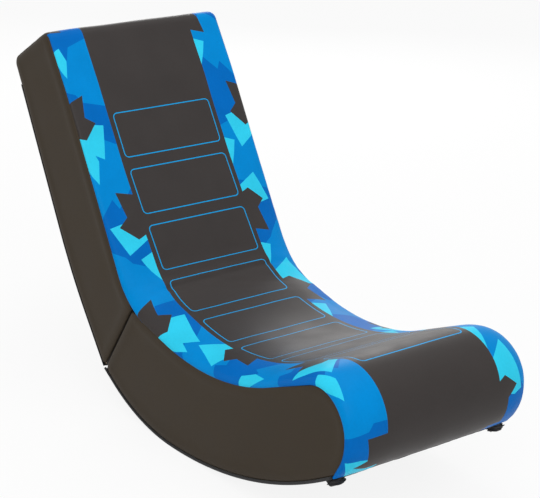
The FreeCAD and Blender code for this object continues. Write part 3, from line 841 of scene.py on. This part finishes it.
def end_sheet(name, side, top_up, low_up, body, node):
    """Cloth over an end board, open round the hinge leaves."""
    half_width, window_foot = 198.6, -32.4
    windows = [(-145.4, -84.6), (84.6, 145.4)]
    xs = sorted({-half_width, half_width, *[v for w in windows for v in w], *np.arange(-195, 196, 15.0)})
    ups = sorted({low_up, top_up, window_foot, *np.arange(low_up, top_up, 9.0)})
    verts = []
    for depth in (PARTING * side, (PARTING + 1.0) * side):
        for up in ups:
            for x in xs:
                soft = 0.25 * noise.noise(Vector((x * 0.02, up * 0.02, 9.0 + side)))
                verts.append((x, *fold_place(depth + side * soft, up)))
    n, m = len(xs), len(xs) * len(ups)
    cells = set()
    for i in range(len(ups) - 1):
        for j in range(n - 1):
            mid_x, mid_up = (xs[j] + xs[j + 1]) / 2, (ups[i] + ups[i + 1]) / 2
            if mid_up <= window_foot or not any(a < mid_x < b for a, b in windows):
                cells.add((i, j))
    faces = []
    for i, j in sorted(cells):
        a, b, c, d = i * n + j, i * n + j + 1, (i + 1) * n + j + 1, (i + 1) * n + j
        faces.append(turned((a, b, c, d), side < 0))
        faces.append(turned((m + a, m + b, m + c, m + d), side > 0))
        for di, dj, p, q in ((-1, 0, a, b), (1, 0, c, d), (0, -1, d, a), (0, 1, b, c)):
            if (i + di, j + dj) not in cells:
                faces.append(turned((q, p, m + p, m + q), side < 0))
    piece = new_piece(name, verts, faces, [cloth_black], body)
    set_uv(piece.data, np.array([(x, up) for _ in (0, 1) for up in ups for x in xs]) * MM)
    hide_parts(node)


end_sheet("seat_end_sheet", -1, -5.0, from_fold(SEAT_HEEL)[1] + 2.0, "seat", "seat_end_cloth")
end_sheet("back_end_sheet", 1, -5.0, from_fold(BACK_HEEL)[1] + 1.0, "back", "back_end_cloth")


# Gathered cloth at the front corners and the hem between them
def gather(name, side, node, seed):
    """Crumpled end of the base cloth, drawn together in folds."""
    slope = -math.degrees(FRONT_TURN)
    centre = step(TOE, slope, 15.0)
    along = unit((0, 0), step((0, 0), slope, 1))
    out = (along[1], -along[0])
    row_count, columns = 22, 44
    verts, faces = [], []
    for i in range(row_count + 1):
        v = math.pi * i / row_count
        for j in range(columns):
            u = 2 * math.pi * j / columns
            d = Vector((math.sin(v) * math.cos(u), math.sin(v) * math.sin(u), math.cos(v)))
            fold = 0.13 * math.sin(5 * u + 2.2 * math.cos(v) + seed) + 0.09 * math.sin(9 * u - 3 * v + seed * 2)
            crumple = 0.22 * noise.noise(d * 1.9 + Vector((seed, 0, 0)))
            crumple += 0.10 * noise.noise(d * 4.6 + Vector((0, seed, 0)))
            r = 1 + (fold + crumple) * (0.35 + 0.65 * math.sin(v))
            sag = 4.5 - 1.5 * d.x
            ax, ay, az = 17.0 * d.z * r, 14.0 * d.x * r, 7.5 * d.y * r + sag
            verts.append((side * (189.0 + ax), centre[0] + along[0] * ay + out[0] * az,
                          centre[1] + along[1] * ay + out[1] * az))
    for i in range(row_count):
        for j in range(columns):
            k = (j + 1) % columns
            faces.append((i * columns + j, i * columns + k, (i + 1) * columns + k, (i + 1) * columns + j))
    piece = merged(new_piece(name, verts, faces, [cloth_black], "seat"))
    set_uv(piece.data, np.array([(v.co.x, v.co.y + v.co.z) for v in piece.data.vertices]))
    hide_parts(node)


gather("corner_gather_left", -1, "front_gather_left", 1.3)
gather("corner_gather_right", 1, "front_gather_right", 4.1)


def hem():
    """Rolled edge of the base cloth along the front."""
    xs = np.linspace(-186, 186, 94)
    edge = front.at(FRONT_START)
    sides = 10
    verts, faces = [], []
    for x in xs:
        cy = edge[0] - 0.4 + 0.6 * noise.noise(Vector((x * 0.05, 3.3, 0.2)))
        cz = edge[1] - 0.8 + noise.noise(Vector((x * 0.021, 8.3, 1.2)))
        r = 1.9 + 0.4 * noise.noise(Vector((x * 0.09, 1.0, 5.0)))
        for k in range(sides):
            t = 2 * math.pi * k / sides
            verts.append((x, cy + 1.1 * r * math.cos(t), cz + r * math.sin(t)))
    for i in range(len(xs) - 1):
        for k in range(sides):
            n = (k + 1) % sides
            faces.append((i * sides + k, i * sides + n, (i + 1) * sides + n, (i + 1) * sides + k))
    faces.append(tuple(range(sides)))
    faces.append(tuple((len(xs) - 1) * sides + k for k in range(sides - 1, -1, -1)))
    piece = merged(new_piece("front_hem", verts, faces, [cloth_black], "seat"))
    set_uv(piece.data, np.array([(v.co.x, v.co.z) for v in piece.data.vertices]))


hem()


def screw_heads(name, side, centre, body):
    """Three countersunk heads with a cross recess on one hinge leaf."""
    around, quarter = 24, math.pi / 2
    rings = ((3.4, 0.0), (3.3, 0.35), (2.4, 0.75), (1.2, 0.9))
    face_at = 1.6 * side
    verts, faces = [], []
    for x, up in ((-21.0, -22.0), (0.0, -25.0), (21.0, -22.0)):
        base = len(verts)
        for radius, rise in rings:
            for k in range(around):
                t = 2 * math.pi * k / around
                in_cross = rise > 0.8 and min(t % quarter, quarter - t % quarter) < 0.2
                p = fold_place(face_at - side * (rise - 0.5 * in_cross), up + radius * math.sin(t))
                verts.append((centre + x + radius * math.cos(t), *p))
        verts.append((centre + x, *fold_place(face_at - side * 0.35, up)))
        verts.append((centre + x, *fold_place(face_at + side * 0.2, up)))
        top = base + len(rings) * around
        for k in range(around):
            n = (k + 1) % around
            for low in range(base, top - around, around):
                faces.append((low + k, low + n, low + around + n, low + around + k))
            faces.append((top, top - around + k, top - around + n))
            faces.append((top + 1, base + n, base + k))
    merged(new_piece(name, verts, faces, [steel], body))


for centre, word in ((-115.0, "left"), (115.0, "right")):
    screw_heads("seat_screws_" + word, -1, centre, "seat")
    screw_heads("back_screws_" + word, 1, centre, "back")

# Materials of the CAD nodes that stay
LOOKS = [(steel, ("leaf", "pin")), (web, ("webbing",)), (ply, ("board", "rail", "deck", "ribs", "battens"))]
for name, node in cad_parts.items():
    for mat, words in LOOKS:
        if any(word in name for word in words):
            node.data.materials.clear()
            node.data.materials.append(mat)
            break

# Stage, light and camera
WHITE = (1, 1, 1, 1)
FLOOR_REACH = 8
FLOOR_SHARE = 0.88
AMBIENT = 0.66


def sees_background(tree):
    """1 for the rays of the camera, through glass or off a gloss, which see the plain background."""
    rays = new_node(tree, "LightPath").outputs
    seen = new_node(tree, "Math", {0: rays["Is Camera Ray"], 1: rays["Is Transmission Ray"]},
                    operation="MAXIMUM").outputs[0]
    return new_node(tree, "Math", {0: seen, 1: rays["Is Glossy Ray"]}, operation="MAXIMUM").outputs[0]


floor_mesh = bpy.data.meshes.new("floor")
floor_mesh.from_pydata([(x * FLOOR_REACH, y * FLOOR_REACH, 0) for x, y in ((-1, -1), (1, -1), (1, 1), (-1, 1))],
                       [], [(0, 1, 2, 3)])
floor = bpy.data.objects.new("floor", floor_mesh)
bpy.context.scene.collection.objects.link(floor)
pale = bpy.data.materials.new("floor_pale")
pale.use_nodes = True
tree = pale.node_tree
tree.nodes.clear()
share = new_node(tree, "Math", {0: sees_background(tree), 1: FLOOR_SHARE}, operation="MULTIPLY")
diffuse = new_node(tree, "BsdfDiffuse", {"Color": (0.86, 0.86, 0.86, 1)})
glow = new_node(tree, "Emission", {"Color": WHITE, "Strength": 1.0})
mixed = new_node(tree, "MixShader", {0: share.outputs[0], 1: diffuse.outputs[0], 2: glow.outputs[0]})
new_node(tree, "OutputMaterial", {0: mixed.outputs[0]})
floor_mesh.materials.append(pale)

world = bpy.data.worlds.new("studio")
bpy.context.scene.world = world
world.use_nodes = True
tree = world.node_tree
tree.nodes.clear()
ambient = new_node(tree, "Background", {0: WHITE, 1: AMBIENT})
white = new_node(tree, "Background", {0: WHITE, 1: 1.0})
mixed = new_node(tree, "MixShader", {0: sees_background(tree), 1: ambient.outputs[0], 2: white.outputs[0]})
new_node(tree, "OutputWorld", {0: mixed.outputs[0]})


def lamp(name, place, target, size, power):
    light = bpy.data.lights.new(name, "AREA")
    light.shape = "RECTANGLE"
    light.size, light.size_y = size
    light.energy = power
    obj = bpy.data.objects.new(name, light)
    bpy.context.scene.collection.objects.link(obj)
    obj.location = place
    obj.rotation_euler = (Vector(target) - Vector(place)).to_track_quat("-Z", "Y").to_euler()


lamp("key", (-1.7, -2.3, 2.6), (0, 0, 0.3), (1.6, 1.6), 31)
lamp("top", (0.2, -0.2, 3.0), (0, 0, 0.3), (2.0, 1.4), 18)
lamp("glare", (1.9, 2.3, 1.2), (0, -0.15, 0.22), (1.7, 0.9), 19)

IMAGE_WIDTH = 540.0
FOCAL_PIXELS = 1750.0
SENSOR = 36.0
cam_data = bpy.data.cameras.new("camera")
cam_data.sensor_width = SENSOR
cam_data.lens = FOCAL_PIXELS * SENSOR / IMAGE_WIDTH
camera = bpy.data.objects.new("camera", cam_data)
bpy.context.scene.collection.objects.link(camera)
eye = (-1.94769, -2.49600, 1.54278)
right = Vector((0.79046, -0.61102, 0.04273))
up = Vector((0.18353, 0.30283, 0.93521))
ahead = Vector((0.58437, 0.73140, -0.35152))
facing = Matrix([[right[k], up[k], -ahead[k]] for k in range(3)])
camera.matrix_world = Matrix.Translation(eye) @ facing.to_4x4()
bpy.context.scene.camera = camera
bpy.context.scene.view_settings.view_transform = "Standard"
